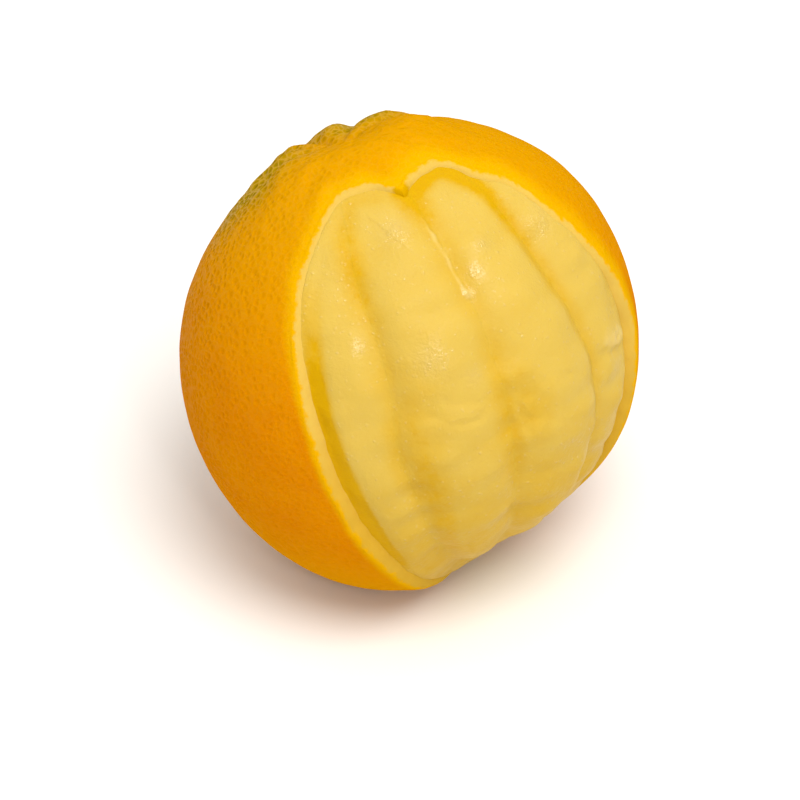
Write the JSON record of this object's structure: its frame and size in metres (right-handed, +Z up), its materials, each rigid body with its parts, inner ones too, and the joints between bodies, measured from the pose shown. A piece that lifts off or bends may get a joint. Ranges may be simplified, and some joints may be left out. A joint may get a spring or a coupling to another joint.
{
  "type": "mandarin orange",
  "caption": "Mandarin orange lying on its side with a tall window cut through the peel, showing the juicy segments side by side.",
  "frame": {"origin": "middle of the small flat spot of the peel that the fruit lies on", "axes": "+Z up from the surface it lies on; -Y towards the side that the window shows on; the fruit's own stem axis leans from +Z by about 27 degrees, towards -X and +Y"},
  "size_m": [0.0661, 0.0657, 0.0667],
  "materials": {
    "orange_peel": "citrus peel, orange, finely dimpled with a soft waxy gloss, pale on its cut edge and inside",
    "segment_skin": "citrus segment skin, pale yellow, smooth, moist and slightly see-through"
  },
  "bodies": {
    "root": {"peel": "orange_peel", "segment_01": "segment_skin", "segment_02": "segment_skin", "segment_03": "segment_skin", "segment_04": "segment_skin", "segment_05": "segment_skin", "segment_06": "segment_skin", "segment_07": "segment_skin", "segment_08": "segment_skin", "segment_09": "segment_skin", "segment_10": "segment_skin", "segment_11": "segment_skin", "segment_12": "segment_skin"}
  },
  "joints": []
}
